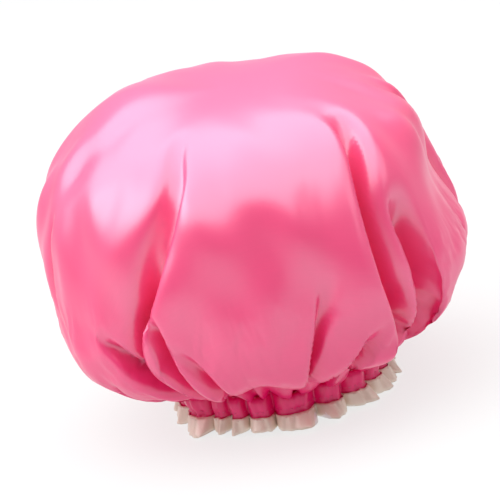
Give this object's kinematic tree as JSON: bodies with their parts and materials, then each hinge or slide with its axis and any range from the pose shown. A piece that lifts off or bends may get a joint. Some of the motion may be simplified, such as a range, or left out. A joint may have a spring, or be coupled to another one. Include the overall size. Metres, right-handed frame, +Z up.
{
  "type": "shower cap",
  "caption": "Bouffant shower cap: a puffed satin crown drawn in by an elastic band above a short frill with a contrasting bound edge, lined with waterproof film.",
  "frame": {"origin": "centre of the head opening, on the plane that the hem rests on", "axes": "+Z up, out through the top of the crown; -Y towards the front of the cap as pictured; +X to the right in that view"},
  "size_m": [0.2155, 0.209, 0.1754],
  "materials": {
    "pink_satin": "satin weave, glossy",
    "waterproof_film": "cast film, semi-matt",
    "knitted_elastic": "warp-knitted over rubber",
    "champagne_satin": "satin weave, glossy",
    "pink_thread": "spun polyester",
    "champagne_thread": "spun polyester",
    "white_thread": "spun polyester"
  },
  "bodies": {
    "root": {"outer_shell": "pink_satin", "lining": "waterproof_film", "elastic_band": "knitted_elastic", "edge_binding": "champagne_satin", "tunnel_stitching_upper": "pink_thread", "tunnel_stitching_lower": "pink_thread", "binding_stitching": "champagne_thread", "elastic_join_stitching": "white_thread"}
  },
  "joints": []
}
